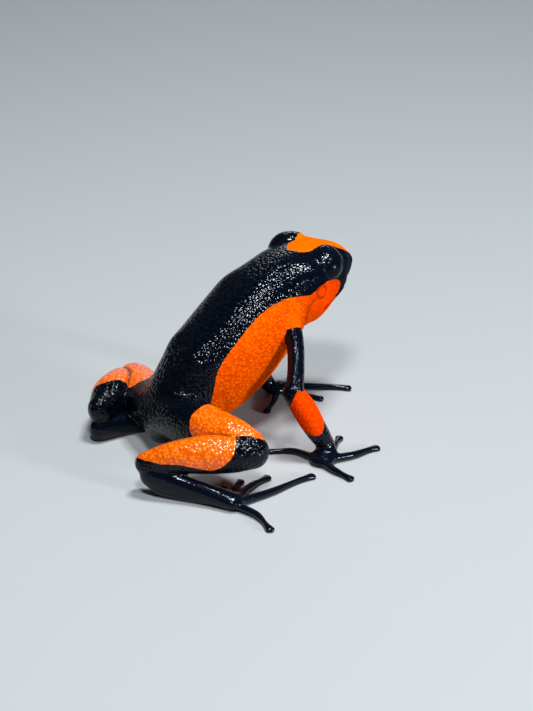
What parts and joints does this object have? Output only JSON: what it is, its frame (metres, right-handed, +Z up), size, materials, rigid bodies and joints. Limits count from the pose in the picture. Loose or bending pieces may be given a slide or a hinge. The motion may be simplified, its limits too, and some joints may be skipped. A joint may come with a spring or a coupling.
{
  "type": "frog figure",
  "caption": "Life-size still model of a harlequin poison frog sitting on folded hind legs with its chest raised and its head turned to the left; glossy black with orange patches",
  "frame": {"origin": "the middle of the footprint, on the floor", "axes": "+Z is up, the trunk faces -Y, and the frog's left side is +X"},
  "size_m": [0.04, 0.036, 0.0221],
  "materials": {
    "black_skin": "fine granules, moist shine",
    "orange_skin": "fine granules, soft shine",
    "eye": "wet shine"
  },
  "bodies": {
    "root": {"torso": "black_skin", "head": "black_skin", "eye_left": "eye", "eye_right": "eye", "upper_arm_left": "black_skin", "upper_arm_right": "black_skin", "forearm_left": "orange_skin", "forearm_right": "orange_skin", "hand_left": "black_skin", "hand_right": "black_skin", "thigh_left": "orange_skin", "thigh_right": "orange_skin", "shank_left": "orange_skin", "shank_right": "orange_skin", "foot_left": "black_skin", "foot_right": "black_skin"}
  },
  "joints": []
}
